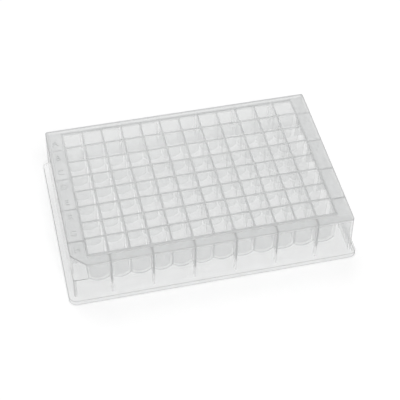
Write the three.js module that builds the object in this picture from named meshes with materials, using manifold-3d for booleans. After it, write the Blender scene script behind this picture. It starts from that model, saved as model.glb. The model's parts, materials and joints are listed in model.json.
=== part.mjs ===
// Well plate: 96 square wells with round bottoms, a raised well grid on a ribbed skirt.
// It is injection-moulded in one piece from natural polypropylene, so it is one solid.
// Millimetres, +Z up. The origin is the centre of the footprint on the bench top.
// +X runs from column 1 to column 12, +Y from row H to row A.

import * as THREE from 'three';
import { mergeVertices } from 'three/addons/utils/BufferGeometryUtils.js';
import Module from 'manifold-3d';

// ---- Driving dimensions ----

// Footprint and height
const PLATE_LENGTH = 127.76;
const PLATE_WIDTH = 85.48;
const PLATE_HEIGHT = 24.0;
const FOOTPRINT_RADIUS = 3.18;

// Flange round the foot, hollow below so that it caps the deck of a plate under it
const FLANGE_HEIGHT = 2.5;
const FLANGE_WALL = 1.2;
const FLANGE_ROOF = 1.0;

// Deck and skirt. The skirt spreads from the deck down to the flange.
const DECK_INSET = 2.68;
const DECK_THICKNESS = 1.0;
const SKIRT_WALL = 1.0;
const SKIRT_DRAFT = THREE.MathUtils.degToRad(1.1);
const SKIRT_RADIUS = 1.0;

// Well grid
const COLUMNS = 12;
const ROWS = 8;
const PITCH = 9.0;
const GRID_WALL = 0.9;
const GRID_ABOVE_DECK = 1.2;

// One well: a square shaft that ends in a spherical bottom, whose radius is
// BOTTOM_REACH more than half the shaft's diagonal
const WELL_DEPTH = 18.6;
const WELL_DRAFT = THREE.MathUtils.degToRad(0.6);
const WELL_CORNER = 0.5;
const BOTTOM_REACH = 0.27;
const BOTTOM_WALL = 0.9;

// Ribs that tie the grid to the skirt, and the beads that carry them on below
const RIB_THICKNESS = 0.9;
const RIB_DEPTH = 15.0;
const RIB_EVERY = 2;
const BEAD_PROUD = 0.6;

// Orientation notch at the corner by well H1
const NOTCH_LEG = 6.1;
const NOTCH_DEPTH = 9.2;
const NOTCH_FLOOR = 1.0;

// Facets
const CORNER_STEPS = 2;
const BOTTOM_SIDES = 12;
const BOTTOM_RING = 2.5;
const DOME_RING = 3.5;
const SHARPEST_RADIUS = 0.2;

// How far a cutter or a rib runs past the face that it meets
const OVERRUN = 1.0;
const BURY = 0.2;

// Steps that bring the foot of a drafted shaft onto its spherical bottom
const FOOT_TRIES = 10;

// Natural polypropylene
const COLOUR = 0xe4e6e6;

// ---- Derived dimensions ----

const DECK_TOP = PLATE_HEIGHT - GRID_ABOVE_DECK;
const DECK_UNDERSIDE = DECK_TOP - DECK_THICKNESS;
const DECK_LENGTH = PLATE_LENGTH - 2 * DECK_INSET;
const DECK_WIDTH = PLATE_WIDTH - 2 * DECK_INSET;
const GRID_X = (COLUMNS * PITCH + GRID_WALL) / 2;
const GRID_Y = (ROWS * PITCH + GRID_WALL) / 2;
const WELL_WIDTH = PITCH - GRID_WALL;
const BOTTOM_RADIUS = WELL_WIDTH * Math.SQRT1_2 + BOTTOM_REACH;
const BOTTOM_CENTRE = PLATE_HEIGHT - WELL_DEPTH + BOTTOM_RADIUS;
const DOME_RADIUS = BOTTOM_RADIUS + BOTTOM_WALL;
const RIB_FOOT = PLATE_HEIGHT - RIB_DEPTH;
const UP = new THREE.Vector3(0, 0, 1);

const wasm = await Module();
wasm.setup();

// ---- Surfaces ----

/** Collects the triangles of a closed surface. */
class Skin {
  constructor() {
    this.corners = [];
  }

  triangle(a, b, c) {
    this.corners.push(a, b, c);
  }

  /** Joins two rings that run counter-clockwise seen from above, `lower` below or inside. */
  stitch(lower, upper) {
    const turnsLower = turns(lower);
    const other = startNear(upper, turnsLower[0]);
    const turnsUpper = turns(other, turnsLower[0]);
    let i = 0;
    let j = 0;
    while (i < lower.length || j < other.length) {
      const a = lower[i % lower.length];
      const b = other[j % other.length];
      const lowerIsNext = turnsLower[i + 1] <= turnsUpper[j + 1];
      if (j === other.length || (i < lower.length && lowerIsNext)) {
        this.triangle(a, lower[(i + 1) % lower.length], b);
        i += 1;
      } else {
        this.triangle(a, other[(j + 1) % other.length], b);
        j += 1;
      }
    }
  }

  /** Closes a ring with a fan to one point, facing up. */
  fan(ring, apex) {
    ring.forEach((point, n) => this.triangle(point, ring[(n + 1) % ring.length], apex));
  }

  /** Fills a flat outline, facing along `outward`. */
  flat(outline, outward) {
    const across = new THREE.Vector3(outward.y, outward.z, outward.x);
    const up = outward.clone().cross(across);
    const drawn = outline.map((p) => new THREE.Vector2(p.dot(across), p.dot(up)));
    for (const [a, b, c] of THREE.ShapeUtils.triangulateShape(drawn, [])) {
      this.triangle(outline[a], outline[b], outline[c]);
    }
  }

  geometry() {
    return new THREE.BufferGeometry().setFromPoints(this.corners);
  }
}

/** An angle brought to within half a turn of zero. */
const wrapped = (angle) => Math.atan2(Math.sin(angle), Math.cos(angle));

/** The direction of each point of a ring from the ring's middle. */
function bearings(ring) {
  const middle = new THREE.Vector3();
  ring.forEach((p) => middle.addScaledVector(p, 1 / ring.length));
  return ring.map((p) => Math.atan2(p.y - middle.y, p.x - middle.x));
}

/** A ring's bearings as one growing turn that starts near `start` and ends a full turn on. */
function turns(ring, start = 0) {
  const angles = bearings(ring);
  const grown = [start + wrapped(angles[0] - start)];
  for (let n = 1; n < ring.length; n += 1) {
    grown.push(grown[n - 1] + wrapped(angles[n] - angles[n - 1]));
  }
  return [...grown, grown[0] + 2 * Math.PI];
}

/** The same ring, begun at the point whose bearing is nearest to `bearing`. */
function startNear(ring, bearing) {
  const off = bearings(ring).map((angle) => Math.abs(wrapped(angle - bearing)));
  const first = off.indexOf(Math.min(...off));
  return [...ring.slice(first), ...ring.slice(0, first)];
}

/** The same points at height z. */
function at(points, z) {
  return points.map((p) => new THREE.Vector3(p.x, p.y, z));
}

/** A rectangle with rounded corners, counter-clockwise. */
function roundedRectangle(length, width, radius) {
  const x = length / 2 - radius;
  const y = width / 2 - radius;
  const shape = new THREE.Shape();
  const quarter = Math.PI / 2;
  [[x, y], [-x, y], [-x, -y], [x, -y]].forEach(([cx, cy], n) => {
    shape.absarc(cx, cy, radius, n * quarter, (n + 1) * quarter);
  });
  return shape.getPoints(CORNER_STEPS);
}

/** A closed solid whose outline goes from `foot` at z0 to `head` at z1. */
function tapered(foot, z0, head, z1) {
  const skin = new Skin();
  const lower = at(foot, z0);
  const upper = at(head, z1);
  skin.stitch(lower, upper);
  skin.flat(upper, UP);
  skin.flat([...lower].reverse(), UP.clone().negate());
  return skin.geometry();
}

// ---- Booleans ----

/** A closed geometry as a solid that joins and cuts. */
function solid(geometry) {
  const bare = geometry.clone();
  bare.deleteAttribute('normal');
  bare.deleteAttribute('uv');
  const merged = mergeVertices(bare, 1e-5);
  return new wasm.Manifold(new wasm.Mesh({
    numProp: 3,
    vertProperties: merged.attributes.position.array,
    triVerts: Uint32Array.from(merged.index.array),
  }));
}

function box(x0, x1, y0, y1, z0, z1) {
  const geometry = new THREE.BoxGeometry(x1 - x0, y1 - y0, z1 - z0);
  return solid(geometry.translate((x0 + x1) / 2, (y0 + y1) / 2, (z0 + z1) / 2));
}

function toGeometry(manifold) {
  const mesh = manifold.getMesh();
  const geometry = new THREE.BufferGeometry();
  geometry.setAttribute('position', new THREE.BufferAttribute(mesh.vertProperties, 3));
  geometry.setIndex(new THREE.BufferAttribute(mesh.triVerts, 1));
  geometry.computeVertexNormals();
  return geometry;
}

// ---- Well grid ----

const wellX = (column) => (column - (COLUMNS - 1) / 2) * PITCH;
const wellY = (row) => ((ROWS - 1) / 2 - row) * PITCH;

/** Height of the underside of a sphere about a well's bottom centre, `away` from the well's axis. */
function underside(radius, away) {
  return BOTTOM_CENTRE - Math.sqrt(Math.max(radius ** 2 - away ** 2, 0));
}

/** A level ring on that sphere. */
function ringOnSphere(x, y, radius, away) {
  const z = underside(radius, away);
  return Array.from({ length: BOTTOM_SIDES }, (_, n) => {
    const turn = (2 * Math.PI * n) / BOTTOM_SIDES;
    return new THREE.Vector3(x + away * Math.cos(turn), y + away * Math.sin(turn), z);
  });
}

/** Half the width of a shaft at height z. */
const shaftHalf = (z) => WELL_WIDTH / 2 - Math.tan(WELL_DRAFT) * (PLATE_HEIGHT - z);

/** From the middle of a shaft wall to the edge of its chamfered corner at height z. */
const shaftCorner = (z) => shaftHalf(z) - WELL_CORNER;

/** Where the shaft wall meets the spherical bottom, `aside(z)` from the middle of that wall. */
function shaftFoot(aside) {
  let z = BOTTOM_CENTRE;
  for (let n = 0; n < FOOT_TRIES; n += 1) {
    z = underside(BOTTOM_RADIUS, Math.hypot(shaftHalf(z), aside(z)));
  }
  return z;
}

/** The inside of one well, as the core pin that moulds it. */
function wellCore() {
  const mouthTop = PLATE_HEIGHT + OVERRUN;
  const cornerFoot = shaftFoot(shaftCorner);
  const middleFoot = shaftFoot(() => 0);
  const mouth = [];
  const foot = [];
  for (let side = 0; side < 4; side += 1) {
    const onWall = (aside, z) => {
      const point = new THREE.Vector3(shaftHalf(z), aside, z);
      return point.applyAxisAngle(UP, (side * Math.PI) / 2);
    };
    mouth.push(onWall(-shaftCorner(mouthTop), mouthTop));
    mouth.push(onWall(shaftCorner(mouthTop), mouthTop));
    foot.push(onWall(-shaftCorner(cornerFoot), cornerFoot));
    foot.push(onWall(0, middleFoot));
    foot.push(onWall(shaftCorner(cornerFoot), cornerFoot));
  }
  const ring = ringOnSphere(0, 0, BOTTOM_RADIUS, BOTTOM_RING);
  const skin = new Skin();
  skin.flat(mouth, UP);
  skin.stitch(foot, mouth);
  skin.stitch(ring, foot);
  skin.fan([...ring].reverse(), new THREE.Vector3(0, 0, BOTTOM_CENTRE - BOTTOM_RADIUS));
  return skin.geometry();
}

/** The edges of the grid's cells along one axis: pitch lines inside, outer faces at the ends. */
function cellEdges(count, outer) {
  const edges = Array.from({ length: count + 1 }, (_, n) => (n - count / 2) * PITCH);
  edges[0] = -outer;
  edges[count] = outer;
  return edges;
}

/** The well grid before its wells are cored: a block whose underside bulges under each well. */
function gridBlock() {
  const skin = new Skin();
  const xs = cellEdges(COLUMNS, GRID_X);
  const ys = cellEdges(ROWS, GRID_Y);
  const foot = (x, y, cx, cy) => {
    const [dx, dy] = [x - cx, y - cy].map((d) => Math.min(Math.abs(d), PITCH / 2));
    return new THREE.Vector3(x, y, underside(DOME_RADIUS, Math.hypot(dx, dy)));
  };
  const rims = { front: [], right: [], back: [], left: [] };
  for (let row = 0; row < ROWS; row += 1) {
    for (let column = 0; column < COLUMNS; column += 1) {
      const cx = wellX(column);
      const cy = wellY(ROWS - 1 - row);
      const [x0, x1, y0, y1] = [xs[column], xs[column + 1], ys[row], ys[row + 1]];
      const south = [foot(x0, y0, cx, cy), foot(cx, y0, cx, cy)];
      const east = [foot(x1, y0, cx, cy), foot(x1, cy, cx, cy)];
      const north = [foot(x1, y1, cx, cy), foot(cx, y1, cx, cy)];
      const west = [foot(x0, y1, cx, cy), foot(x0, cy, cx, cy)];
      const ring = ringOnSphere(cx, cy, DOME_RADIUS, DOME_RING);
      skin.stitch(ring, [...south, ...east, ...north, ...west]);
      skin.fan([...ring].reverse(), new THREE.Vector3(cx, cy, BOTTOM_CENTRE - DOME_RADIUS));
      if (row === 0) rims.front.push(...south);
      if (column === COLUMNS - 1) rims.right.push(...east);
      if (row === ROWS - 1) rims.back.unshift(...north);
      if (column === 0) rims.left.unshift(...west);
    }
  }
  const top = [[-1, -1], [1, -1], [1, 1], [-1, 1]].map(
    ([sx, sy]) => new THREE.Vector3(sx * GRID_X, sy * GRID_Y, PLATE_HEIGHT),
  );
  skin.flat(top, UP);
  const sides = [rims.front, rims.right, rims.back, rims.left];
  const faces = [[0, -1], [1, 0], [0, 1], [-1, 0]];
  sides.forEach((rim, n) => {
    const next = sides[(n + 1) % 4][0];
    const outline = [...rim, next, top[(n + 1) % 4], top[n]];
    skin.flat(outline, new THREE.Vector3(...faces[n], 0));
  });
  return solid(skin.geometry());
}

/** The cores of all the wells. */
function wellCores() {
  const core = solid(wellCore());
  const cores = [];
  for (let row = 0; row < ROWS; row += 1) {
    for (let column = 0; column < COLUMNS; column += 1) {
      cores.push(core.translate([wellX(column), wellY(row), 0]));
    }
  }
  return wasm.Manifold.compose(cores);
}

// ---- Deck, skirt and flange ----

/** Outline of the skirt's outer face at height z, moved in by `inset`. */
function skirtOutline(z, inset = 0) {
  const grown = 2 * (Math.tan(SKIRT_DRAFT) * (DECK_TOP - z) - inset);
  const radius = Math.max(SKIRT_RADIUS - inset, SHARPEST_RADIUS);
  return roundedRectangle(DECK_LENGTH + grown, DECK_WIDTH + grown, radius);
}

/** A triangular prism over the deck corner by well H1, from z0 up. */
function cornerPrism(leg, z0) {
  const x = -DECK_LENGTH / 2 - OVERRUN;
  const y = -DECK_WIDTH / 2 - OVERRUN;
  const reach = leg + 2 * OVERRUN;
  const shape = new THREE.Shape([
    new THREE.Vector2(x, y),
    new THREE.Vector2(x + reach, y),
    new THREE.Vector2(x, y + reach),
  ]);
  const depth = DECK_TOP + OVERRUN - z0;
  const prism = new THREE.ExtrudeGeometry(shape, { depth, bevelEnabled: false });
  return solid(prism.translate(0, 0, z0));
}

/** The deck, skirt and flange, with the notch and its ledge. The deck runs on under the grid. */
function skirtShell() {
  const ledge = DECK_TOP - NOTCH_DEPTH;
  const flange = roundedRectangle(PLATE_LENGTH, PLATE_WIDTH, FOOTPRINT_RADIUS);
  const recess = roundedRectangle(
    PLATE_LENGTH - 2 * FLANGE_WALL,
    PLATE_WIDTH - 2 * FLANGE_WALL,
    FOOTPRINT_RADIUS - FLANGE_WALL,
  );
  const recessTop = FLANGE_HEIGHT - FLANGE_ROOF;
  const outside = solid(tapered(
    skirtOutline(recessTop),
    recessTop,
    skirtOutline(DECK_TOP),
    DECK_TOP,
  ))
    .subtract(cornerPrism(NOTCH_LEG, ledge))
    .add(solid(tapered(flange, 0, flange, FLANGE_HEIGHT)));
  const foot = recessTop - BURY;
  const inside = solid(tapered(
    skirtOutline(foot, SKIRT_WALL),
    foot,
    skirtOutline(DECK_UNDERSIDE, SKIRT_WALL),
    DECK_UNDERSIDE,
  )).subtract(cornerPrism(NOTCH_LEG + SKIRT_WALL * Math.SQRT2, ledge - NOTCH_FLOOR));
  return outside
    .subtract(inside)
    .subtract(solid(tapered(recess, -OVERRUN, recess, recessTop)));
}

// ---- Ribs ----

/** Pitch lines, every RIB_EVERY wells from the first, that carry ribs. */
function ribLines(count) {
  const lines = [];
  for (let n = 1; n < count; n += RIB_EVERY) {
    lines.push((n - count / 2) * PITCH);
  }
  return lines;
}

/** The ribs and beads across one gap, seen as if the gap lay on the -Y side. */
function ribRow(lines, gridFace, deckHalf) {
  const wallMiddle = deckHalf - SKIRT_WALL / 2;
  const innerFace = deckHalf + Math.tan(SKIRT_DRAFT) * (DECK_TOP - RIB_FOOT) - SKIRT_WALL;
  const half = RIB_THICKNESS / 2;
  return lines.flatMap((x) => [
    box(x - half, x + half, -wallMiddle, -gridFace + BURY, RIB_FOOT, DECK_UNDERSIDE + BURY),
    box(x - half, x + half, -wallMiddle, -innerFace + BEAD_PROUD, FLANGE_HEIGHT, RIB_FOOT + BURY),
  ]);
}

/** All the ribs and beads, row by row round the four sides. */
function ribs() {
  const front = wasm.Manifold.union(ribRow(ribLines(COLUMNS), GRID_Y, DECK_WIDTH / 2));
  const side = wasm.Manifold.union(ribRow(ribLines(ROWS), GRID_X, DECK_LENGTH / 2));
  const left = side.rotate([0, 0, -90]);
  return [front, front.rotate([0, 0, 180]), left, left.rotate([0, 0, 180])];
}

// ---- The part ----

const body = wasm.Manifold.union([gridBlock(), skirtShell(), ...ribs()]).subtract(wellCores());

const plate = new THREE.Mesh(
  toGeometry(body),
  new THREE.MeshStandardMaterial({ color: COLOUR, roughness: 0.35, metalness: 0 }),
);
plate.name = 'well_plate';

const part = new THREE.Group();
part.add(plate);

export default part;
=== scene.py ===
"""Well plate: 96 square, round-bottomed wells in one piece of natural polypropylene."""

import json
import math

import bpy
import bmesh
from bpy.props import FloatProperty, FloatVectorProperty, IntProperty, StringProperty
from mathutils import Matrix, Vector

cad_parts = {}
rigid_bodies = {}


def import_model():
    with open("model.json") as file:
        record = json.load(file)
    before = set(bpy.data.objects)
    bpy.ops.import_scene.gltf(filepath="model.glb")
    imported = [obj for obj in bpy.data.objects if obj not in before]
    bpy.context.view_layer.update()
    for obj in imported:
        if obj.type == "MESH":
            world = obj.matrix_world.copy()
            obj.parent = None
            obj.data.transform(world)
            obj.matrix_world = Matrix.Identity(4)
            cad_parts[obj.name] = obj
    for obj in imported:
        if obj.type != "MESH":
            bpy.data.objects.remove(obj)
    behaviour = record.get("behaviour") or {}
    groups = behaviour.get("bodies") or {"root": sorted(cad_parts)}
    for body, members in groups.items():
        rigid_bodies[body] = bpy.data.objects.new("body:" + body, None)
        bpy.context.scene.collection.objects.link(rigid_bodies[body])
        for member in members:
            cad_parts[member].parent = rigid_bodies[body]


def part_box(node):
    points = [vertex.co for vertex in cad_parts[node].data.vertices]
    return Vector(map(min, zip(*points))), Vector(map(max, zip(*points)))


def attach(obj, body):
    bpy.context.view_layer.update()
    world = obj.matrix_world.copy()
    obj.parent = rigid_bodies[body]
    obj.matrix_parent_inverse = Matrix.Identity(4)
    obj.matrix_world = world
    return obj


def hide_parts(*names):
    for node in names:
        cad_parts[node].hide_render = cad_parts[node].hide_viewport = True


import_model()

bl_info = {
    "name": "Well plate",
    "version": (1, 0, 0),
    "blender": (4, 5, 0),
    "location": "3D View > Sidebar > Well Plate",
    "description": "Builds a 96-well plate moulded in natural polypropylene, and its stage",
    "category": "Add Mesh",
}

MM = 0.001
MATH = "ShaderNodeMath"
NODE = "well_plate"
BODY = "root"
MATERIAL = "moulded_natural_polypropylene"
SMOOTH_ANGLE = math.radians(32)
SEEN_THROUGH = 64  # faces that the eye may look through, one behind the other

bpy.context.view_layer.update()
FOOT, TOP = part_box(NODE)
PLATE_LENGTH = TOP.x - FOOT.x
PLATE_WIDTH = TOP.y - FOOT.y
PLATE_HEIGHT = TOP.z - FOOT.z


# ---- Sizes and colours that a user would change ----

def length(name, description, default):
    """A length in metres, given in millimetres."""
    return FloatProperty(
        name=name, description=description, default=default * MM,
        min=0.0, subtype="DISTANCE", unit="LENGTH", precision=5,
    )


def colour(name, description, default):
    """A colour as an sRGB hex value."""
    return StringProperty(name=name, description=description, default=default, maxlen=7)


def share(name, description, default):
    """A number from 0 to 1."""
    return FloatProperty(
        name=name, description=description, default=default, min=0.0, max=1.0, subtype="FACTOR",
    )


class WellSizes(bpy.types.PropertyGroup):
    """The well grid."""

    columns: IntProperty(name="Columns", description="Wells along the plate", default=12, min=1)
    rows: IntProperty(name="Rows", description="Wells across the plate", default=8, min=1)
    pitch: length("Pitch", "From one well's centre to the next", 9.0)
    wall: length("Wall", "Wall between two wells at the rim", 0.9)
    above_deck: length("Above deck", "Height of the rims above the deck", 1.2)
    depth: length("Depth", "From the rim to the lowest point of a well", 18.6)
    draft: FloatProperty(
        name="Draft", description="How far a well's walls lean in", default=math.radians(0.6),
        subtype="ANGLE",
    )
    corner: length("Corner", "Radius of a shaft's upright corners", 0.6)
    edge: length("Edge", "Radius of the rims' edges", 0.16)
    reach: length("Reach", "A bottom's radius beyond half the shaft's diagonal", 0.27)
    bottom_wall: length("Bottom wall", "Wall under a well", 0.9)


class SkirtSizes(bpy.types.PropertyGroup):
    """The deck, skirt, flange and notch."""

    inset: length("Inset", "Skirt at the deck, in from the footprint", 2.68)
    deck: length("Deck", "Thickness of the deck", 1.0)
    wall: length("Wall", "Thickness of the skirt", 1.0)
    draft: FloatProperty(
        name="Draft", description="How far the skirt spreads on the way down",
        default=math.radians(1.1), subtype="ANGLE",
    )
    corner: length("Corner", "Radius of the skirt's upright corners", 1.0)
    foot_corner: length("Foot corner", "Radius of the footprint's corners", 3.18)
    flange_height: length("Flange height", "Height of the flange", 2.5)
    flange_wall: length("Flange wall", "Thickness of the flange's outer wall", 1.2)
    flange_roof: length("Flange roof", "Thickness of the flange's top", 1.0)
    notch_leg: length("Notch leg", "Cut of the notch along each side of the deck", 6.1)
    notch_depth: length("Notch depth", "From the deck down to the notch's ledge", 9.2)
    notch_floor: length("Notch floor", "Thickness of the notch's ledge", 1.0)
    edge: length("Edge", "Radius of the moulding's outer edges", 0.45)


class RibSizes(bpy.types.PropertyGroup):
    """The ribs between the grid and the skirt."""

    thickness: length("Thickness", "Thickness of a rib", 0.9)
    depth: length("Depth", "From the rims down to a rib's foot", 15.0)
    every: IntProperty(
        name="Every", description="Wells from one rib to the next", default=2, min=1,
    )
    proud: length("Bead", "How far the bead below a rib stands out of the skirt", 0.6)


class LetterSizes(bpy.types.PropertyGroup):
    """The raised row letters."""

    height: length("Height", "Height of a letter", 3.1)
    proud: length("Proud", "How far a letter stands out of the deck", 0.2)


class Finish(bpy.types.PropertyGroup):
    """Natural polypropylene."""

    tint: colour("Tint", "Colour of the plastic through one wall", "#E9EAEA")
    deck: colour("Deck tint", "Colour of the plastic through the deck", "#E8E9E9")
    # The deep tint is painted shade on rims, raised faces, wall ends, ribs and deck margins, where
    # walls are also seen end-on through more plastic.
    painted_shade_tint: colour("Deep tint", "Colour of the plastic along a wall or a rim", "#D0D1D1")
    # The edge tint is painted shade: dark lines at the roundings, corners, well bottoms and over
    # the ribs, and a painted contact shadow at the foot.
    edge: colour("Edge tint", "Colour of the plastic at its outer edges", "#8C8D8D")
    haze: share("Haze", "Share of light that one face of a well scatters", 0.135)
    deck_haze: share("Deck haze", "The same for a face of the deck", 0.55)
    skirt_haze: share("Skirt haze", "The same for a face of the skirt", 0.22)
    flange_haze: share("Flange haze", "The same for a face of the flange", 0.21)
    glancing: share("Glancing haze", "Haze added to a well's face at a low angle", 0.12)
    end_on: share("End-on haze", "Haze where a wall is seen along its length", 0.7)
    through: share("Through", "Share of the scattered light that goes on through a wall", 0.5)
    deck_through: share("Through the deck", "The same for the deck", 0.25)
    cloud: length("Cloud", "Size of the cloudy patches that cooling leaves", 5.0)
    grain: length("Grain", "Size of the fine grain that the mould's steel leaves", 0.25)


class Stage(bpy.types.PropertyGroup):
    """The floor, light and camera."""

    floor: colour("Floor", "Colour of the floor", "#E2E2E2")
    floor_glow: FloatProperty(
        name="Floor glow", description="White that the eye sees on the floor beside its colour",
        default=0.36, min=0.0,
    )
    room: FloatProperty(
        name="Room", description="Strength of the even light from all round", default=0.4, min=0.0,
    )
    key: FloatProperty(
        name="Key", description="Power of the soft lamp in front", default=6.8, min=0.0,
        unit="POWER",
    )
    back: FloatProperty(
        name="Back", description="Power of the soft lamp at the back", default=5.2, min=0.0,
        unit="POWER",
    )
    target: FloatVectorProperty(
        name="Target", description="Point that the camera looks at",
        default=(0.99 * MM, -5.94 * MM, 12.0 * MM), subtype="XYZ", unit="LENGTH",
    )
    distance: length("Distance", "From the camera to its target", 513.66)
    turn: FloatProperty(
        name="Turn", description="The camera's way round the plate, from the front to its left",
        default=math.radians(14.03), subtype="ANGLE",
    )
    rise: FloatProperty(
        name="Rise", description="The camera's angle above the floor",
        default=math.radians(48.5), subtype="ANGLE",
    )
    roll: FloatProperty(
        name="Roll", description="The camera's turn about its own axis",
        default=math.radians(1.31), subtype="ANGLE",
    )
    lens: FloatProperty(name="Lens", description="Focal length on a 36 mm sensor", default=103.48)


GROUPS = {
    "plate_wells": WellSizes,
    "plate_skirt": SkirtSizes,
    "plate_ribs": RibSizes,
    "plate_letters": LetterSizes,
    "plate_finish": Finish,
    "plate_stage": Stage,
}


# ---- Meshes ----

def new_object(name, mesh):
    """An object at the origin that shows mesh."""
    made = bpy.data.objects.new(name, mesh)
    bpy.context.scene.collection.objects.link(made)
    return made


def mesh_from(bm, name):
    """A bmesh as a mesh, with its doubles merged and its faces turned outwards."""
    bmesh.ops.remove_doubles(bm, verts=bm.verts, dist=0.001 * MM)
    bmesh.ops.recalc_face_normals(bm, faces=bm.faces)
    mesh = bpy.data.meshes.new(name)
    bm.to_mesh(mesh)
    bm.free()
    return mesh


def applied(obj):
    """Turns what obj's modifiers make into its own plain mesh."""
    seen = obj.evaluated_get(bpy.context.evaluated_depsgraph_get())
    mesh = bpy.data.meshes.new_from_object(seen)
    obj.modifiers.clear()
    obj.data = mesh
    mesh.name = obj.name


def combine(obj, other, operation):
    """Joins other to obj, or cuts it out of obj, and removes other."""
    cut = obj.modifiers.new("Combine", "BOOLEAN")
    cut.object = other
    cut.operation = operation
    cut.solver = "MANIFOLD"
    applied(obj)
    bpy.data.objects.remove(other)


def rounded_ring(half_x, half_y, radius, steps):
    """Points of a rounded rectangle about the Z axis, counter-clockwise."""
    ring = []
    for n, (sx, sy) in enumerate(((1, 1), (-1, 1), (-1, -1), (1, -1))):
        for step in range(steps + 1):
            turn = math.pi / 2 * (n + step / steps)
            ring.append(Vector((
                sx * (half_x - radius) + radius * math.cos(turn),
                sy * (half_y - radius) + radius * math.sin(turn),
                0.0,
            )))
    return ring


def at_height(ring, z):
    """A ring's points, all at height z."""
    return [Vector((p.x, p.y, z)) for p in ring]


def loft(bm, rings):
    """Skins the rings, which have as many points each, and returns the vertices ring by ring."""
    rows = [[bm.verts.new(p) for p in ring] for ring in rings]
    for lower, upper in zip(rows, rows[1:]):
        for n in range(len(lower)):
            after = (n + 1) % len(lower)
            bm.faces.new((lower[n], lower[after], upper[after], upper[n]))
    return rows


def fan(bm, row, apex):
    """Closes a row of vertices with triangles to one point."""
    tip = bm.verts.new(apex)
    for n, vert in enumerate(row):
        bm.faces.new((row[(n + 1) % len(row)], vert, tip))


def block(name, rings):
    """A closed solid through rings that run from its foot to its head."""
    bm = bmesh.new()
    rows = loft(bm, rings)
    bm.faces.new(reversed(rows[0]))
    bm.faces.new(rows[-1])
    return new_object(name, mesh_from(bm, name))


# ---- Node trees ----

def add_node(tree, kind, inputs=None, **settings):
    """A node with its settings, and each input given a value or linked to a socket or a node."""
    made = tree.nodes.new(kind)
    for name, value in settings.items():
        setattr(made, name, value)
    for key, value in (inputs or {}).items():
        if isinstance(value, bpy.types.Node):
            value = value.outputs[0]
        if isinstance(value, bpy.types.NodeSocket):
            tree.links.new(value, made.inputs[key])
        else:
            made.inputs[key].default_value = value
    return made


def geometry_tree(name, sockets):
    """A Geometry Nodes tree with named inputs, and its input node."""
    tree = bpy.data.node_groups.new(name, "GeometryNodeTree")
    tree.interface.new_socket("Geometry", in_out="INPUT", socket_type="NodeSocketGeometry")
    tree.interface.new_socket("Geometry", in_out="OUTPUT", socket_type="NodeSocketGeometry")
    for label, kind in sockets.items():
        tree.interface.new_socket(label, in_out="INPUT", socket_type=kind)
    return tree, tree.nodes.new("NodeGroupInput").outputs


def run_tree(obj, tree, values):
    """Runs a Geometry Nodes tree on obj with its named inputs set, and keeps the plain mesh."""
    modifier = obj.modifiers.new(tree.name, "NODES")
    modifier.node_group = tree
    for item in tree.interface.items_tree:
        if item.in_out == "INPUT" and item.name in values:
            modifier[item.identifier] = values[item.name]
    applied(obj)


# ---- Well grid ----

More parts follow.
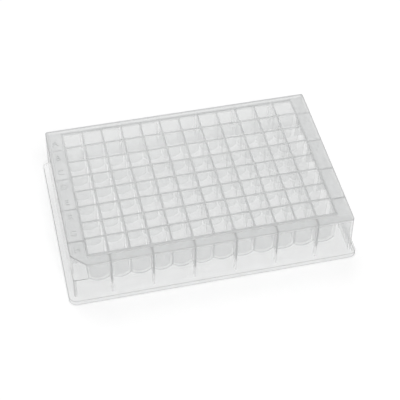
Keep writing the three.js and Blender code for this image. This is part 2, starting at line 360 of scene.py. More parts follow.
def well_cell(wells):
    """One well with its share of the rim and underside, and a panel on each of its four sides."""
    half_pitch = wells.pitch / 2
    mouth = (wells.pitch - wells.wall) / 2
    radius = (wells.pitch - wells.wall) * math.sqrt(0.5) + wells.reach
    centre = PLATE_HEIGHT - wells.depth + radius
    dome = radius + wells.bottom_wall
    corner_steps = 4
    side_steps = 4
    settling = 8
    bottom_rings = (0.83, 0.67, 0.5, 0.33, 0.17)
    dome_rings = (0.96, 0.8, 0.64, 0.48, 0.32, 0.16)
    # dome_outline is the strength of painted shade on the outline of a well's bottom.
    dome_outline = 0.4

    def outline(half, corner):
        """A rounded square with extra points along its sides, so that all outlines match."""
        ring = []
        corners = rounded_ring(half, half, corner, corner_steps)
        for n in range(4):
            arc = corners[n * (corner_steps + 1):(n + 1) * (corner_steps + 1)]
            after = corners[((n + 1) * (corner_steps + 1)) % len(corners)]
            ring += arc
            ring += [arc[-1].lerp(after, k / side_steps) for k in range(1, side_steps)]
        return ring

    def square(ring):
        """An outline pushed out to the cell's edge."""
        return [p * (half_pitch / max(abs(p.x), abs(p.y))) for p in ring]

    def drop(p, sphere):
        """The point of the sphere's lower half under or over p."""
        return Vector((p.x, p.y, centre - math.sqrt(sphere ** 2 - p.x ** 2 - p.y ** 2)))

    def shaft_half(z):
        """Half the width of the shaft at height z."""
        return mouth - math.tan(wells.draft) * (PLATE_HEIGHT - z)

    def shaft_foot():
        """The curve where the shaft's walls run into the spherical bottom."""
        ring = outline(shaft_half(centre), wells.corner)
        for _ in range(settling):
            heights = [drop(p, radius).z for p in ring]
            ring = [outline(shaft_half(z), wells.corner)[n] for n, z in enumerate(heights)]
        return [drop(p, radius) for p in ring]

    def bowl(bm, rim, sphere, stops, row, shown):
        """Closes row with rings on the sphere, and gives the outer ring its strength of painted
        shade.
        """
        spread = math.asin(max(p.to_2d().length for p in rim) / sphere)
        for stop in stops:
            shrink = math.sin(spread * stop) / math.sin(spread)
            new = [bm.verts.new(drop(p * shrink, sphere)) for p in rim]
            for n in range(len(new)):
                after = (n + 1) % len(new)
                face = bm.faces.new((row[n], new[n], new[after], row[after]))
                face[edge_shade] = shown if stop == stops[0] else 0.0
            row = new
        fan(bm, row, (0, 0, centre - sphere))

    bm = bmesh.new()
    side = bm.faces.layers.int.new("side")
    # The edge layer holds each face's strength of painted shade.
    edge_shade = bm.faces.layers.float.new("edge")
    edge = wells.edge
    rings = [at_height(square(outline(mouth + edge, wells.corner + edge)), PLATE_HEIGHT)]
    for turn in (0.0, 30.0, 60.0, 90.0):
        out = edge * (1 - math.sin(math.radians(turn)))
        down = edge * (1 - math.cos(math.radians(turn)))
        rings.append(at_height(outline(mouth + out, wells.corner + out), PLATE_HEIGHT - down))
    foot = shaft_foot()
    rows = loft(bm, rings + [foot])
    bowl(bm, foot, radius, bottom_rings, rows[-1], 0.0)

    boundary = [drop(p, dome) for p in rings[0]]
    lower = [bm.verts.new(p) for p in boundary]
    bowl(bm, boundary, dome, dome_rings, lower, dome_outline)

    shoulder = [bm.verts.new(p) for p in at_height(rings[0], PLATE_HEIGHT - edge)]
    for upper_row, lower_row in ((rows[0], shoulder), (shoulder, lower)):
        for n in range(len(lower_row)):
            after = (n + 1) % len(lower_row)
            panel = bm.faces.new((upper_row[n], upper_row[after], lower_row[after], lower_row[n]))
            panel[side] = 1
    return bm


def grid_tree():
    """Repeats a cell, drops the panels between cells and thickens the outer wall."""
    tree, given = geometry_tree("Well grid", {
        "Columns": "NodeSocketInt",
        "Rows": "NodeSocketInt",
        "Pitch": "NodeSocketFloat",
        "Wall": "NodeSocketFloat",
        "Edge": "NodeSocketFloat",
        "Height": "NodeSocketFloat",
        "Material": "NodeSocketMaterial",
    })

    place = add_node(tree, "ShaderNodeSeparateXYZ", {
        "Vector": add_node(tree, "GeometryNodeInputPosition"),
    }).outputs
    slack = 0.01 * MM
    lattice = add_node(tree, "GeometryNodeMeshGrid")
    beyond = {}
    for axis, count in (("X", "Columns"), ("Y", "Rows")):
        gaps = add_node(tree, MATH, {0: given[count], 1: 1.0}, operation="SUBTRACT")
        run = add_node(tree, MATH, {0: gaps, 1: given["Pitch"]}, operation="MULTIPLY")
        tree.links.new(run.outputs[0], lattice.inputs["Size " + axis])
        tree.links.new(given[count], lattice.inputs["Vertices " + axis])
        edge = add_node(tree, MATH, {0: run, 1: given["Pitch"]}, operation="ADD")
        edge = add_node(tree, MATH, {0: edge, 1: 0.5, 2: -slack}, operation="MULTIPLY_ADD")
        off = add_node(tree, MATH, {0: place[axis]}, operation="ABSOLUTE")
        beyond[axis] = add_node(tree, MATH, {0: off, 1: edge}, operation="GREATER_THAN")
    cells = add_node(tree, "GeometryNodeInstanceOnPoints", {
        "Points": lattice, "Instance": given["Geometry"],
    })
    real = add_node(tree, "GeometryNodeRealizeInstances", {"Geometry": cells})

    side = add_node(tree, "GeometryNodeInputNamedAttribute", {"Name": "side"}, data_type="INT")
    outer = add_node(tree, MATH, {0: beyond["X"], 1: beyond["Y"]}, operation="MAXIMUM")
    inner = add_node(tree, MATH, {0: 1.0, 1: outer}, operation="SUBTRACT")
    between = add_node(tree, MATH, {0: side.outputs["Attribute"], 1: inner}, operation="MULTIPLY")
    panels = add_node(tree, "GeometryNodeDeleteGeometry", {
        "Geometry": real, "Selection": between,
    }, domain="FACE")
    merged = add_node(tree, "GeometryNodeMergeByDistance", {
        "Geometry": panels, "Distance": slack,
    })

    top = add_node(tree, MATH, {0: given["Height"], 1: slack}, operation="SUBTRACT")
    at_top = add_node(tree, MATH, {0: place["Z"], 1: top}, operation="GREATER_THAN")
    held = add_node(tree, MATH, {0: at_top, 1: given["Edge"]}, operation="MULTIPLY")
    half_wall = add_node(tree, MATH, {0: given["Wall"], 1: 0.5}, operation="MULTIPLY")
    push = add_node(tree, MATH, {0: half_wall, 1: held}, operation="SUBTRACT")
    offset = add_node(tree, "ShaderNodeCombineXYZ")
    for axis in ("X", "Y"):
        way = add_node(tree, MATH, {0: place[axis]}, operation="SIGN")
        way = add_node(tree, MATH, {0: way, 1: beyond[axis]}, operation="MULTIPLY")
        way = add_node(tree, MATH, {0: way, 1: push}, operation="MULTIPLY")
        tree.links.new(way.outputs[0], offset.inputs[axis])
    moved = add_node(tree, "GeometryNodeSetPosition", {"Geometry": merged, "Offset": offset})
    finish_tree(tree, moved, given["Material"])
    return tree


def finish_tree(tree, geometry, material):
    """Ends a tree in Realize Instances and Set Material."""
    real = add_node(tree, "GeometryNodeRealizeInstances", {"Geometry": geometry})
    painted = add_node(tree, "GeometryNodeSetMaterial", {"Geometry": real, "Material": material})
    add_node(tree, "NodeGroupOutput", {"Geometry": painted})


def make_grid(settings, material):
    """The block of wells. The outlines of its bottoms get painted shade along the front only."""
    wells = settings.plate_wells
    grid = new_object("well_grid", mesh_from(well_cell(wells), "well_grid"))
    run_tree(grid, grid_tree(), {
        "Columns": wells.columns, "Rows": wells.rows, "Pitch": wells.pitch, "Wall": wells.wall,
        "Edge": wells.edge, "Height": PLATE_HEIGHT, "Material": material,
    })
    front = -wells.rows * wells.pitch / 2
    for face, edge_shade in zip(grid.data.polygons, grid.data.attributes["edge"].data):
        if face.center.y > front + wells.wall:
            edge_shade.value = 0.0
    return grid


# ---- Deck, skirt and flange ----

# Strengths of the painted shade on the moulding's outer roundings: dark edge lines, and at the
# foot a painted contact shadow. The foot's and the flange's marks are as given at the plate's
# sides, and by FADE stronger at its front and weaker at its back.
FOOT_SHADOW = 1.3
FLANGE_MARK = 0.32
LEDGE_MARK = 1.0
DECK_MARK = 0.8
DECK_FRONT_MARK = 0.35
UPRIGHT_MARK = 0.4
CORNER_MARK = 0.5
CORNER_SIDE_MARK = 0.45
FADE = 0.75


def skirt_ring(skirt, z, deck_top, inset=0.0):
    """The skirt's outer face at height z, moved in by inset."""
    spread = math.tan(skirt.draft) * (deck_top - z) - inset
    half_x = PLATE_LENGTH / 2 - skirt.inset + spread
    half_y = PLATE_WIDTH / 2 - skirt.inset + spread
    radius = max(skirt.corner - inset, skirt.edge)
    return at_height(rounded_ring(half_x, half_y, radius, steps=6), z)


def foot_ring(skirt, z, inset=0.0):
    """The flange's outer face at height z, moved in by inset."""
    ring = rounded_ring(
        PLATE_LENGTH / 2 - inset, PLATE_WIDTH / 2 - inset, skirt.foot_corner - inset, steps=10,
    )
    return at_height(ring, z)


def notch_prism(skirt, deck_top, leg, z0):
    """A triangular prism over the deck corner by well H1, from z0 up."""
    run_out = 1.0 * MM
    corner = Vector((skirt.inset - PLATE_LENGTH / 2, skirt.inset - PLATE_WIDTH / 2, 0.0))
    corner -= Vector((run_out, run_out, 0.0))
    reach = leg + 2 * run_out
    triangle = [corner, corner + Vector((reach, 0, 0)), corner + Vector((0, reach, 0))]
    return block("notch", [at_height(triangle, z0), at_height(triangle, deck_top + run_out)])


def round_edges(shell, skirt):
    """Rounds the shell's edges, and gives each outer rounding its strength of painted shade, at
    the foot a painted contact shadow.
    """
    bm = bmesh.new()
    bm.from_mesh(shell.data)
    edge_shade = bm.faces.layers.float.new("edge")
    deck_top = max(vert.co.z for vert in bm.verts)
    slight = 0.1
    corner_slant, middle_slant, notch_slant = 0.3, 0.5, 0.68
    for face in bm.faces:
        slant = min(abs(face.normal.x), abs(face.normal.y))
        corner = abs(face.normal.z) < slight and corner_slant < slant < notch_slant
        above = face.calc_center_median().z > skirt.flange_height
        face[edge_shade] = 0.0
        if corner and above:
            face[edge_shade] = CORNER_MARK if slant > middle_slant else CORNER_SIDE_MARK
    sharp = [edge for edge in bm.edges if edge.calc_face_angle() > math.radians(30)]
    made = bmesh.ops.bevel(
        bm, geom=sharp, offset=skirt.edge, segments=2, profile=0.5, affect="EDGES",
        clamp_overlap=True,
    )
    levels = (
        (0.0, FOOT_SHADOW), (skirt.flange_height, FLANGE_MARK),
        (deck_top - skirt.notch_depth, LEDGE_MARK), (deck_top, DECK_MARK),
    )
    for face in made["faces"]:
        middle = face.calc_center_median()
        bend = sum(edge.calc_face_angle_signed() * edge.calc_length() for edge in face.edges)
        outward = face.normal.to_2d().dot(middle.to_2d()) > 0
        shown = [strength for level, strength in levels if abs(middle.z - level) < skirt.edge]
        if middle.z < skirt.flange_height + skirt.edge:
            fade = 1.0 - FADE * 2 * middle.y / PLATE_WIDTH
            shown = [strength * fade for strength in shown]
        if abs(face.normal.z) < slight and middle.z > skirt.flange_height:
            shown.append(UPRIGHT_MARK)
        if abs(face.normal.x) < slight and abs(middle.z - deck_top) < skirt.edge:
            shown = [DECK_FRONT_MARK]
        face[edge_shade] = shown[0] if shown and outward and bend > 0 else 0.0
    bm.to_mesh(shell.data)
    bm.free()


def make_shell(settings, material):
    """The deck, skirt and flange, with the notch."""
    skirt, wells = settings.plate_skirt, settings.plate_wells
    deck_top = PLATE_HEIGHT - wells.above_deck
    under_deck = deck_top - skirt.deck
    roof = skirt.flange_height - skirt.flange_roof
    ledge = deck_top - skirt.notch_depth
    slack = 0.2 * MM

    shell = block("shell", [skirt_ring(skirt, z, deck_top) for z in (roof, deck_top)])
    combine(shell, notch_prism(skirt, deck_top, skirt.notch_leg, ledge), "DIFFERENCE")
    flange = block("flange", [foot_ring(skirt, 0.0), foot_ring(skirt, skirt.flange_height)])
    combine(shell, flange, "UNION")
    hollow = block("hollow", [
        skirt_ring(skirt, z, deck_top, skirt.wall) for z in (roof - slack, under_deck)
    ])
    behind = skirt.notch_leg + skirt.wall * math.sqrt(2)
    combine(hollow, notch_prism(skirt, deck_top, behind, ledge - skirt.notch_floor), "DIFFERENCE")
    combine(shell, hollow, "DIFFERENCE")
    recess = block("recess", [foot_ring(skirt, z, skirt.flange_wall) for z in (-slack, roof)])
    combine(shell, recess, "DIFFERENCE")

    round_edges(shell, skirt)

    half_x = wells.columns * wells.pitch / 2
    half_y = wells.rows * wells.pitch / 2
    opening = block("opening", [
        at_height(rounded_ring(half_x, half_y, wells.corner, steps=2), z)
        for z in (under_deck - slack, deck_top + slack)
    ])
    combine(shell, opening, "DIFFERENCE")
    return shell


# ---- Ribs ----

def rib_tree():
    """Repeats a rib along one side of the plate and along the side across from it."""
    tree, given = geometry_tree("Rib row", {
        "Count": "NodeSocketInt",
        "Spacing": "NodeSocketFloat",
        "Material": "NodeSocketMaterial",
    })

    gaps = add_node(tree, MATH, {0: given["Count"], 1: 1.0}, operation="SUBTRACT")
    run = add_node(tree, MATH, {0: gaps, 1: given["Spacing"]}, operation="MULTIPLY")
    half_run = add_node(tree, MATH, {0: run, 1: -0.5}, operation="MULTIPLY")
    start = add_node(tree, "ShaderNodeCombineXYZ", {"X": half_run})
    step = add_node(tree, "ShaderNodeCombineXYZ", {"X": given["Spacing"]})
    line = add_node(tree, "GeometryNodeMeshLine", {
        "Count": given["Count"], "Start Location": start, "Offset": step,
    })
    near = add_node(tree, "GeometryNodeInstanceOnPoints", {
        "Points": line, "Instance": given["Geometry"],
    })
    far = add_node(tree, "GeometryNodeTransform", {
        "Geometry": near, "Rotation": (0.0, 0.0, math.pi),
    })
    both = add_node(tree, "GeometryNodeJoinGeometry", {"Geometry": near})
    tree.links.new(far.outputs[0], both.inputs[0])
    finish_tree(tree, both, given["Material"])
    return tree


def make_ribs(settings, material, tree, wells_along, face, deck_half, turn):
    """The ribs of two opposite sides, as on the -Y side of the plate and then turned."""
    wells, skirt, ribs = settings.plate_wells, settings.plate_skirt, settings.plate_ribs
    deck_top = PLATE_HEIGHT - wells.above_deck
    top = deck_top - skirt.deck / 2
    foot = PLATE_HEIGHT - ribs.depth
    middle = deck_half - skirt.wall / 2
    inner = deck_half + math.tan(skirt.draft) * (deck_top - foot) - skirt.wall
    grid_side = face - wells.wall / 4
    half = ribs.thickness / 2
    soft = min(0.15 * MM, half / 2)
    nose = 0.6 * MM
    bead = -inner + ribs.proud
    profile = [
        (-middle, top), (-middle, skirt.flange_height), (bead, skirt.flange_height),
        (bead, foot - nose), (bead + nose / 4, foot - nose / 4), (bead + nose, foot),
        (-grid_side, foot), (-grid_side, top),
    ]

    rings = []
    for x, shrink in ((-half, soft), (-half + soft, 0.0), (half - soft, 0.0), (half, soft)):
        ring = []
        for y, z in profile:
            if y > -middle and z < top:
                z += shrink if y > bead else 0.0
                y -= shrink if y < -grid_side else 0.0
            ring.append(Vector((x, y, z)))
        rings.append(ring)
    row = block("rib_row", rings)
    run_tree(row, tree, {
        "Count": wells_along // ribs.every,
        "Spacing": wells.pitch * ribs.every,
        "Material": material,
    })
    row.data.transform(Matrix.Rotation(turn, 4, "Z"))
    return row


# ---- Materials ----

# Shares of the end-on haze, which also mix in the deep tint as painted shade on rims, raised
# faces, wall ends, ribs and deck margins; RIB_TOP mixes in the edge tint as painted shade on the
# deck over the ribs. A share named FORWARD is added in full at the plate's front, and only by BACK
# at its back.
BACK = 0.1
RIM = 0.68
RIM_FORWARD = 0.3
RAISED_FACE = 0.6
WALL_END = 0.8
RIB_BEAD = 0.2
SHORT_RIB = 0.25
SHORT_RIB_FORWARD = 0.5
RIB_CORE = 0.7
RIB_SIDES = 0.3
RIB_TOP = 0.5
OVER_SKIRT = 0.45
FRONT_STRIP = 0.15
MOST_HAZE = 0.95

# How far a place may lie from a face and still be on it.
TOUCH = 0.02 * MM
NEAR = 0.05 * MM


def linear(code):
    """An sRGB hex colour as linear red, green, blue and alpha."""
    parts = [int(code[n:n + 2], 16) / 255 for n in (1, 3, 5)]
    parts = [c / 12.92 if c <= 0.04045 else ((c + 0.055) / 1.055) ** 2.4 for c in parts]
    return (*parts, 1.0)


def new_material(name):
    """A material without nodes, and its node tree."""
    material = bpy.data.materials.new(name)
    material.use_nodes = True
    material.node_tree.nodes.clear()
    return material, material.node_tree


def along_grid(tree, place, forward, settings):
    """Haze and painted shade along the grid's walls: at their rims, raised outer faces and outer
    ends.
    """
    wells = settings.plate_wells
    rim_band = 0.2 * MM
    rim = add_node(tree, MATH, {
        0: place["Z"], 1: PLATE_HEIGHT - rim_band,
    }, operation="GREATER_THAN")
    strength = add_node(tree, MATH, {
        0: forward, 1: RIM_FORWARD, 2: RIM,
    }, operation="MULTIPLY_ADD")
    rim = add_node(tree, MATH, {0: rim, 1: strength}, operation="MULTIPLY")
    raised = add_node(tree, MATH, {
        0: place["Z"], 1: PLATE_HEIGHT - wells.above_deck + TOUCH,
    }, operation="GREATER_THAN")
    raised = add_node(tree, MATH, {0: raised, 1: RAISED_FACE}, operation="MULTIPLY")

    column = add_node(tree, MATH, {0: place["X"], 1: wells.pitch / 2}, operation="PINGPONG")
    ends = add_node(tree, MATH, {0: column, 1: 0.0, 2: wells.wall / 2}, operation="COMPARE")
    off = add_node(tree, MATH, {0: place["X"]}, operation="ABSOLUTE")
    inner = add_node(tree, MATH, {
        0: off, 1: wells.columns * wells.pitch / 2 - wells.wall,
    }, operation="LESS_THAN")
    ends = add_node(tree, MATH, {0: ends, 1: inner}, operation="MULTIPLY")
    ends = add_node(tree, MATH, {0: ends, 1: forward}, operation="MULTIPLY")
    ends = add_node(tree, MATH, {0: ends, 1: WALL_END}, operation="MULTIPLY")
    ends = add_node(tree, MATH, {0: ends, 1: raised}, operation="MAXIMUM")

    found = rim
    for axis, count, strength in (("X", wells.columns, raised), ("Y", wells.rows, ends)):
        face = (count * wells.pitch + wells.wall) / 2
        off = add_node(tree, MATH, {0: place[axis]}, operation="ABSOLUTE")
        at_face = add_node(tree, MATH, {0: off, 1: face, 2: NEAR}, operation="COMPARE")
        shown = add_node(tree, MATH, {0: at_face, 1: strength}, operation="MULTIPLY")
        found = add_node(tree, MATH, {0: found, 1: shown}, operation="MAXIMUM")
    return found


def along_ribs(tree, place, forward, settings):
    """Haze and painted shade along the ribs: all the way down at the front and back, and near the
    deck at the ends.

    It fades towards the back, and is weaker at a rib's two sides than inside.
    """
    wells, skirt, ribs = settings.plate_wells, settings.plate_skirt, settings.plate_ribs
    under_deck = 1.0 * MM
    deck_foot = PLATE_HEIGHT - wells.above_deck - skirt.deck
    above = add_node(tree, MATH, {
        0: place["Z"], 1: PLATE_HEIGHT - ribs.depth,
    }, operation="GREATER_THAN")
    below = add_node(tree, MATH, {
        0: place["Z"], 1: skirt.flange_height,
    }, operation="GREATER_THAN")
    long_rib = add_node(tree, MATH, {
        0: above, 1: 1.0 - RIB_BEAD, 2: RIB_BEAD,
    }, operation="MULTIPLY_ADD")
    long_rib = add_node(tree, MATH, {0: long_rib, 1: below}, operation="MULTIPLY")
    long_rib = add_node(tree, MATH, {0: long_rib, 1: forward}, operation="MULTIPLY")
    short_rib = add_node(tree, MATH, {
        0: place["Z"], 1: deck_foot - under_deck,
    }, operation="GREATER_THAN")
    strength = add_node(tree, MATH, {
        0: forward, 1: SHORT_RIB_FORWARD, 2: SHORT_RIB,
    }, operation="MULTIPLY_ADD")
    short_rib = add_node(tree, MATH, {0: short_rib, 1: strength}, operation="MULTIPLY")

    spacing = wells.pitch * ribs.every
    half = ribs.thickness / 2
    found = 0.0
    for along, across, count, strength in (
        ("X", "Y", wells.rows, long_rib), ("Y", "X", wells.columns, short_rib),
    ):
        face = (count * wells.pitch + wells.wall) / 2
        off = add_node(tree, MATH, {0: place[across]}, operation="ABSOLUTE")
        beyond = add_node(tree, MATH, {0: off, 1: face}, operation="GREATER_THAN")
        rib = add_node(tree, MATH, {0: place[along], 1: spacing / 2}, operation="PINGPONG")
        core = add_node(tree, MATH, {
            0: rib, 1: spacing / 2, 2: half - TOUCH,
        }, operation="COMPARE")
        sides = add_node(tree, MATH, {
            0: rib, 1: spacing / 2, 2: half + TOUCH,
        }, operation="COMPARE")
        rib = add_node(tree, MATH, {0: core, 1: RIB_CORE}, operation="MULTIPLY")
        rib = add_node(tree, MATH, {0: sides, 1: RIB_SIDES, 2: rib}, operation="MULTIPLY_ADD")
        rib = add_node(tree, MATH, {0: rib, 1: beyond}, operation="MULTIPLY")
        rib = add_node(tree, MATH, {0: rib, 1: strength}, operation="MULTIPLY")
        found = add_node(tree, MATH, {0: found, 1: rib}, operation="MAXIMUM")
    return found


def deck_margin_haze_and_shade(tree, place, on_deck, settings):
    """Haze and painted shade of the deck over the skirt at its sides and back, and in front of the
    wells.
    """
    wells, skirt = settings.plate_wells, settings.plate_skirt
    sideways = add_node(tree, MATH, {0: place["X"]}, operation="ABSOLUTE")
    found = 0.0
    for off, size in ((sideways, PLATE_LENGTH), (place["Y"], PLATE_WIDTH)):
        margin = add_node(tree, MATH, {
            0: off, 1: size / 2 - skirt.inset - skirt.wall,
        }, operation="GREATER_THAN")
        found = add_node(tree, MATH, {0: found, 1: margin}, operation="MAXIMUM")
    found = add_node(tree, MATH, {0: found, 1: OVER_SKIRT}, operation="MULTIPLY")
    front = -(wells.rows * wells.pitch + wells.wall) / 2
    strip = add_node(tree, MATH, {0: place["Y"], 1: front}, operation="LESS_THAN")
    strip = add_node(tree, MATH, {0: strip, 1: FRONT_STRIP}, operation="MULTIPLY")
    found = add_node(tree, MATH, {0: found, 1: strip}, operation="MAXIMUM")
    return add_node(tree, MATH, {0: found, 1: on_deck}, operation="MULTIPLY")


def shell_masks(tree, place, settings):
    """1 outside the block of wells, 1 on the deck and 1 on the flange."""
    wells, skirt = settings.plate_wells, settings.plate_skirt
    outside = 0.0
    for axis, count in (("X", wells.columns), ("Y", wells.rows)):
        face = (count * wells.pitch + wells.wall) / 2
        off = add_node(tree, MATH, {0: place[axis]}, operation="ABSOLUTE")
        beyond = add_node(tree, MATH, {0: off, 1: face + NEAR}, operation="GREATER_THAN")
        outside = add_node(tree, MATH, {0: outside, 1: beyond}, operation="MAXIMUM")
    deck_foot = PLATE_HEIGHT - wells.above_deck - skirt.deck - NEAR
    on_deck = add_node(tree, MATH, {0: place["Z"], 1: deck_foot}, operation="GREATER_THAN")
    on_deck = add_node(tree, MATH, {0: on_deck, 1: outside}, operation="MULTIPLY")
    on_flange = add_node(tree, MATH, {
        0: place["Z"], 1: skirt.flange_height + NEAR,
    }, operation="LESS_THAN")
    return outside, on_deck, on_flange


def wall_haze(tree, outside, on_deck, on_flange, forward, finish):
    """The share of light that one face scatters, which differs from part to part."""
    low_angle = 6.0
    skirt_glancing = finish.glancing * 1.2
    clearest = 0.2
    facing = add_node(tree, "ShaderNodeLayerWeight", {"Blend": 0.5}).outputs["Facing"]
    away = add_node(tree, MATH, {0: facing, 1: low_angle}, operation="POWER")
    haze = add_node(tree, MATH, {
        0: away, 1: finish.glancing, 2: finish.haze,
    }, operation="MULTIPLY_ADD")
    wall = add_node(tree, MATH, {
        0: away, 1: skirt_glancing, 2: finish.skirt_haze,
    }, operation="MULTIPLY_ADD")
    flange = add_node(tree, MATH, {
        0: forward, 1: finish.flange_haze * (1.0 - clearest), 2: finish.flange_haze * clearest,
    }, operation="MULTIPLY_ADD")
    for mask, value in ((outside, wall), (on_flange, flange), (on_deck, finish.deck_haze)):
        haze = add_node(tree, "ShaderNodeMix", {0: mask, 2: haze, 3: value}, data_type="FLOAT")
    return haze


def polypropylene(settings):
    """Natural polypropylene, injection moulded.

    Its crystals scatter light, so a thin wall is a pale veil, and walls behind walls, low angles
    and rims add up to grey. Darker tints are mixed in as painted shade on rims, wall ends, ribs,
    deck margins and roundings, stronger at the plate's front. The skin of the moulding has a soft
    gloss.
    """
    finish = settings.plate_finish
    material, tree = new_material(MATERIAL)
    where = add_node(tree, "ShaderNodeTexCoord").outputs["Object"]
    place = add_node(tree, "ShaderNodeSeparateXYZ", {"Vector": where}).outputs

    clouds = add_node(tree, "ShaderNodeTexNoise", {
        "Vector": where, "Scale": 1 / finish.cloud, "Detail": 2.0, "Roughness": 0.5,
    })
    # The mould's steel has a finer grain, which is drawn coarser so that the gloss shows it.
    grain = add_node(tree, "ShaderNodeTexNoise", {
        "Vector": where, "Scale": 1 / finish.grain, "Detail": 1.0,
    })
    bump = add_node(tree, "ShaderNodeBump", {
        "Height": grain, "Strength": 0.25, "Distance": 0.004 * MM,
    })
    smoothest, rougher = 0.24, 0.16
    gloss = add_node(tree, MATH, {
        0: clouds, 1: rougher, 2: smoothest,
    }, operation="MULTIPLY_ADD")

    outside, on_deck, on_flange = shell_masks(tree, place, settings)
    # forward weights painted shade by place: 1 at the plate's front and BACK at its back.
    forward = add_node(tree, MATH, {
        0: place["Y"], 1: -(1.0 - BACK) / PLATE_WIDTH, 2: (1.0 + BACK) / 2,
    }, operation="MULTIPLY_ADD")
    along = along_grid(tree, place, forward, settings)
    ribs = along_ribs(tree, place, forward, settings)
    for mask in (ribs, deck_margin_haze_and_shade(tree, place, on_deck, settings)):
        along = add_node(tree, MATH, {0: along, 1: mask}, operation="MAXIMUM")
    # The edge attribute and the deck's top over the ribs carry painted shade, mixed in with the
    # edge tint.
    edge = add_node(tree, "ShaderNodeAttribute", attribute_name="edge").outputs["Fac"]
    on_top = add_node(tree, MATH, {
        0: place["Z"], 1: PLATE_HEIGHT - settings.plate_wells.above_deck - NEAR,
    }, operation="GREATER_THAN")
    tops = add_node(tree, MATH, {0: ribs, 1: on_top}, operation="MULTIPLY")
    tops = add_node(tree, MATH, {0: tops, 1: RIB_TOP}, operation="MULTIPLY")
    edge = add_node(tree, MATH, {0: edge, 1: tops}, operation="MAXIMUM")

    haze = wall_haze(tree, outside, on_deck, on_flange, forward, finish)
    patchy = 0.3
    patches = add_node(tree, MATH, {
        0: clouds, 1: patchy, 2: 1.0 - patchy / 2,
    }, operation="MULTIPLY_ADD")
    haze = add_node(tree, MATH, {0: haze, 1: patches}, operation="MULTIPLY")
    dense = add_node(tree, MATH, {0: along, 1: edge}, operation="MAXIMUM")
    veil = add_node(tree, MATH, {
        0: dense, 1: finish.end_on, 2: haze,
    }, operation="MULTIPLY_ADD")
    veil = add_node(tree, MATH, {0: veil, 1: MOST_HAZE}, operation="MINIMUM")
    let_through = add_node(tree, "ShaderNodeMix", {
        0: on_deck, 2: finish.through, 3: finish.deck_through,
    }, data_type="FLOAT")

    # The deep and edge tints are painted shade, mixed in by the along and edge masks.
    colours = linear(finish.tint)
    for mask, code in ((on_deck, finish.deck), (along, finish.painted_shade_tint), (edge, finish.edge)):
        colours = add_node(tree, "ShaderNodeMix", {
            0: mask, 6: colours, 7: linear(code),
        }, data_type="RGBA").outputs[2]
    skin = add_node(tree, "ShaderNodeBsdfPrincipled", {
        "Base Color": colours, "Roughness": gloss, "IOR": 1.49, "Specular IOR Level": 0.4,
        "Normal": bump,
    })
    through = add_node(tree, "ShaderNodeBsdfTranslucent", {"Color": colours})
    milky = add_node(tree, "ShaderNodeMixShader", {0: let_through, 1: skin, 2: through})
    clear = add_node(tree, "ShaderNodeBsdfTransparent", {"Color": (1.0, 1.0, 1.0, 1.0)})
    body = add_node(tree, "ShaderNodeMixShader", {0: veil, 1: clear, 2: milky})
    add_node(tree, "ShaderNodeOutputMaterial", {"Surface": body})
    return material


def in_sight(tree):
    """1 for what the camera sees, directly or in a gloss or through glass, and 0 for light."""
    rays = add_node(tree, "ShaderNodeLightPath").outputs
    seen = rays["Is Camera Ray"]
    for other in ("Is Glossy Ray", "Is Transmission Ray"):
        seen = add_node(tree, MATH, {0: seen, 1: rays[other]}, operation="MAXIMUM")
    return seen


def pale_floor(stage):
    """Matt laminate of a studio table, which reads as white to the eye."""
    material, tree = new_material("matt_white_laminate")
    diffuse = add_node(tree, "ShaderNodeBsdfDiffuse", {"Color": linear(stage.floor)})
    where = add_node(tree, "ShaderNodeTexCoord").outputs["Object"]
    away = add_node(tree, "ShaderNodeVectorMath", {0: where}, operation="LENGTH").outputs["Value"]
    table, backdrop = 0.3, 1.0
    white = add_node(tree, "ShaderNodeMapRange", {
        "Value": away, "From Min": table, "From Max": backdrop, "To Min": stage.floor_glow,
    })
    strength = add_node(tree, MATH, {0: in_sight(tree), 1: white}, operation="MULTIPLY")
    glow = add_node(tree, "ShaderNodeEmission", {"Strength": strength})
    both = add_node(tree, "ShaderNodeAddShader", {0: diffuse, 1: glow})
    add_node(tree, "ShaderNodeOutputMaterial", {"Surface": both})
    return material


def shared_material(settings):
    """The plate's material, made once."""
    return bpy.data.materials.get(MATERIAL) or polypropylene(settings)


# ---- Operators ----

class PLATE_OT_plate(bpy.types.Operator):
    """Make the moulded plate: the wells, deck, skirt, flange, notch and ribs"""

    bl_idname = "plate.moulding"
    bl_label = "Plate"

    def execute(self, context):
        settings = context.scene
        material = shared_material(settings)
        wells, skirt = settings.plate_wells, settings.plate_skirt
        plate = make_grid(settings, material)
        combine(plate, make_shell(settings, material), "UNION")
        tree = rib_tree()
        sides = (
            (wells.columns, wells.rows, PLATE_WIDTH, 0.0),
            (wells.rows, wells.columns, PLATE_LENGTH, -math.pi / 2),
        )
        for along, across, width, turn in sides:
            face = (across * wells.pitch + wells.wall) / 2
            row = make_ribs(
                settings, material, tree, along, face, width / 2 - skirt.inset, turn,
            )
            combine(plate, row, "UNION")
        plate.data.materials.clear()
        plate.data.materials.append(material)
        plate.name = "moulded_plate"
        plate.data.name = plate.name
        plate.data.shade_smooth()
        plate.data.set_sharp_from_angle(angle=SMOOTH_ANGLE)
        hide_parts(NODE)
        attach(plate, BODY)
        return {"FINISHED"}


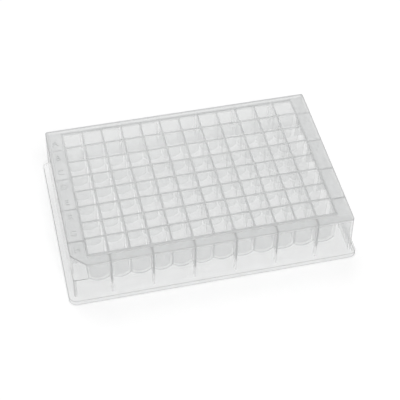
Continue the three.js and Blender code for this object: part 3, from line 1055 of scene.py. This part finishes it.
class PLATE_OT_letters(bpy.types.Operator):
    """Make the raised row letters on the deck"""

    bl_idname = "plate.letters"
    bl_label = "Row letters"

    def execute(self, context):
        settings = context.scene
        wells, sizes = settings.plate_wells, settings.plate_letters
        deck_top = PLATE_HEIGHT - wells.above_deck
        deck_edge = settings.plate_skirt.inset - PLATE_LENGTH / 2
        grid_edge = -(wells.columns * wells.pitch + wells.wall) / 2
        bury = 0.05 * MM
        size_per_height = 1.4
        # The letters get a faint painted shade of the edge tint.
        letter_painted_shade = 0.07
        bm = bmesh.new()
        for row in range(wells.rows):
            text = bpy.data.curves.new("letter", "FONT")
            text.body = chr(ord("A") + row)
            text.align_x = "CENTER"
            text.align_y = "CENTER"
            text.size = sizes.height * size_per_height
            text.extrude = (sizes.proud + bury) / 2
            text.resolution_u = 3
            holder = new_object("letter", text)
            y = ((wells.rows - 1) / 2 - row) * wells.pitch
            place = Vector(((deck_edge + grid_edge) / 2, y, deck_top + (sizes.proud - bury) / 2))
            seen = holder.evaluated_get(context.evaluated_depsgraph_get())
            mesh = bpy.data.meshes.new_from_object(seen)
            mesh.transform(Matrix.Translation(place))
            bm.from_mesh(mesh)
            bpy.data.objects.remove(holder)
            bpy.data.meshes.remove(mesh)
        edge_shade = bm.faces.layers.float.new("edge")
        for face in bm.faces:
            face[edge_shade] = letter_painted_shade
        letters = new_object("row_letters", mesh_from(bm, "row_letters"))
        letters.data.materials.append(shared_material(settings))
        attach(letters, BODY)
        return {"FINISHED"}


class PLATE_OT_stage(bpy.types.Operator):
    """Make the floor, the soft studio light and the camera"""

    bl_idname = "plate.stage"
    bl_label = "Stage"

    def execute(self, context):
        stage = context.scene.plate_stage
        self.make_camera(context.scene, stage)
        self.make_floor(stage)
        self.make_light(context.scene)
        context.scene.view_settings.view_transform = "Standard"
        context.scene.cycles.transparent_max_bounces = SEEN_THROUGH
        return {"FINISHED"}

    def make_camera(self, scene, stage):
        data = bpy.data.cameras.new("camera")
        data.sensor_width = 36.0
        data.lens = stage.lens
        camera = new_object("camera", data)
        back = Vector((
            -math.sin(stage.turn) * math.cos(stage.rise),
            -math.cos(stage.turn) * math.cos(stage.rise),
            math.sin(stage.rise),
        ))
        level = (-back).to_track_quat("-Z", "Y").to_matrix().to_4x4()
        camera.matrix_world = (
            Matrix.Translation(Vector(stage.target) + back * stage.distance)
            @ level @ Matrix.Rotation(stage.roll, 4, "Z")
        )
        scene.camera = camera

    def make_floor(self, stage):
        half_size = 2.0
        gap = 0.05 * MM
        bm = bmesh.new()
        bmesh.ops.create_grid(bm, x_segments=1, y_segments=1, size=half_size)
        bmesh.ops.translate(bm, verts=bm.verts, vec=(0.0, 0.0, -gap))
        floor = new_object("floor", mesh_from(bm, "floor"))
        floor.data.materials.append(pale_floor(stage))

    def make_light(self, scene):
        stage = scene.plate_stage
        size = 0.9
        lamps = (
            ("key", (0.1, -0.8, 1.0), stage.key),
            ("back", (-0.1, 0.8, 1.0), stage.back),
        )
        for name, place, power in lamps:
            data = bpy.data.lights.new(name, "AREA")
            data.shape = "SQUARE"
            data.size = size
            data.energy = power
            lamp = new_object(name, data)
            lamp.location = place
            lamp.rotation_euler = (-Vector(place)).to_track_quat("-Z", "Y").to_euler()
        world = bpy.data.worlds.new("studio")
        scene.world = world
        world.use_nodes = True
        tree = world.node_tree
        tree.nodes.clear()
        light = add_node(tree, "ShaderNodeMix", {0: in_sight(tree), 2: stage.room, 3: 1.0})
        sky = add_node(tree, "ShaderNodeBackground", {
            "Color": (1.0, 1.0, 1.0, 1.0), "Strength": light,
        })
        add_node(tree, "ShaderNodeOutputWorld", {"Surface": sky})


class PLATE_PT_panel(bpy.types.Panel):
    """Lists what the add-on makes"""

    bl_label = "Well Plate"
    bl_idname = "PLATE_PT_panel"
    bl_space_type = "VIEW_3D"
    bl_region_type = "UI"
    bl_category = "Well Plate"

    def draw(self, context):
        for operator in OPERATORS:
            self.layout.operator(operator.bl_idname)


OPERATORS = (PLATE_OT_plate, PLATE_OT_letters, PLATE_OT_stage)
CLASSES = (*GROUPS.values(), *OPERATORS, PLATE_PT_panel)


def register():
    for cls in CLASSES:
        bpy.utils.register_class(cls)
    for name, group in GROUPS.items():
        setattr(bpy.types.Scene, name, bpy.props.PointerProperty(type=group))


def unregister():
    for name in GROUPS:
        delattr(bpy.types.Scene, name)
    for cls in reversed(CLASSES):
        bpy.utils.unregister_class(cls)


def main():
    """Makes everything."""
    for start in [o for o in bpy.data.objects if o.name in ("Cube", "Light", "Camera")]:
        bpy.data.objects.remove(start)
    register()
    bpy.ops.plate.stage()
    bpy.ops.plate.moulding()
    bpy.ops.plate.letters()


if __name__ == "__main__":
    main()
